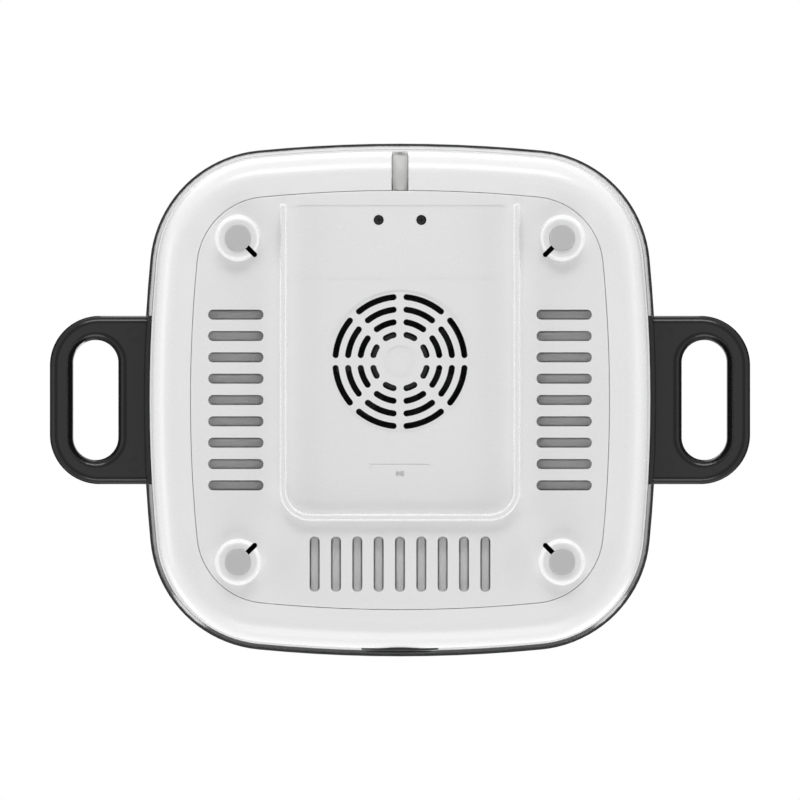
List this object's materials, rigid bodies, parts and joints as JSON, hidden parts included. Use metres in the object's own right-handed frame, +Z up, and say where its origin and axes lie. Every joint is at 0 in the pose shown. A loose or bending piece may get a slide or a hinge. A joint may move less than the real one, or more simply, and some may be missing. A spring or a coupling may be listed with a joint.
{
  "type": "electric hot pot",
  "caption": "Induction hot pot: white base with underside fan grille, air slots, feet and front dial; lift-off dark pot with loop handles; loose domed glass lid with knob.",
  "frame": {"origin": "on the table, under the middle of the part", "axes": "+Z up; +X to the user's right, through the handles; +Y to the rear, where the cord leaves"},
  "size_m": [0.4134, 0.3034, 0.2009],
  "materials": {
    "white_shell": "moulded, fine satin texture",
    "white_frame": "moulded, semi-gloss",
    "grey_rubber": "matte",
    "grey_gland": "satin",
    "black_glass": "polished black ceramic glass",
    "black_plastic": "moulded, fine texture",
    "gloss_black": "polished",
    "handle_black": "moulded phenolic, satin",
    "steel": "brushed",
    "screw_steel": "zinc plated",
    "copper": "enamelled copper wire",
    "ferrite": "sintered",
    "bronze": "sintered bronze",
    "bare_aluminium": "extruded",
    "dark_cast": "cast, dark non-stick coating",
    "green_board": "solder mask",
    "yellow_case": "moulded",
    "white_silicone": "matte",
    "clear_glass": "tempered, polished"
  },
  "bodies": {
    "base": {"base_shell": "white_shell", "bottom_cover": "white_shell", "foot_pads": "grey_rubber", "cover_screws": "screw_steel", "top_frame": "white_frame", "hob_plate": "black_glass", "hob_seal": "grey_rubber", "coil_tray": "black_plastic", "tray_screws": "screw_steel", "induction_coil": "copper", "ferrite_bars": "ferrite", "sensor_holder": "white_silicone", "temp_sensor": "bare_aluminium", "cord_gland": "grey_gland", "cord_clamp": "white_shell", "clamp_screws": "screw_steel", "vent_hoods": "white_shell", "fan_frame": "black_plastic", "fan_bearing": "bronze", "fan_stator": "screw_steel", "power_board": "green_board", "heat_sink": "bare_aluminium", "power_devices": "black_plastic", "capacitors": "yellow_case", "filter_choke": "ferrite", "dial_cup": "black_plastic", "rotary_switch": "screw_steel", "control_board": "green_board"},
    "fan": {"fan_rotor": "black_plastic", "fan_shaft": "steel"},
    "dial": {"dial": "gloss_black", "dial_shaft": "steel"},
    "pot": {"pot_body": "dark_cast", "pot_base_plate": "steel", "handle_right": "handle_black", "handle_left": "handle_black", "handle_brackets": "steel", "handle_screws": "screw_steel", "handle_plugs": "handle_black"},
    "lid": {"lid_glass": "clear_glass", "lid_rim": "steel", "lid_knob": "handle_black", "knob_seat": "steel", "knob_washer": "white_silicone", "knob_screw": "screw_steel", "steam_vent": "steel"}
  },
  "joints": [
    {"name": "pot_lift", "type": "slide", "parent": "base", "child": "pot", "axis": [0, 0, 1], "range_m": [0, 0.12]},
    {"name": "lid_lift", "type": "slide", "parent": "pot", "child": "lid", "axis": [0, 0, 1], "range_m": [0, 0.12]},
    {"name": "dial_turn", "type": "hinge", "parent": "base", "child": "dial", "pos_m": [0, -0.1456, 0.042], "axis": [0, 1, 0], "range_deg": [0, 270]},
    {"name": "fan_spin", "type": "hinge", "parent": "base", "child": "fan", "pos_m": [0, 0.0225, 0.02], "axis": [0, 0, 1], "continuous": true}
  ]
}
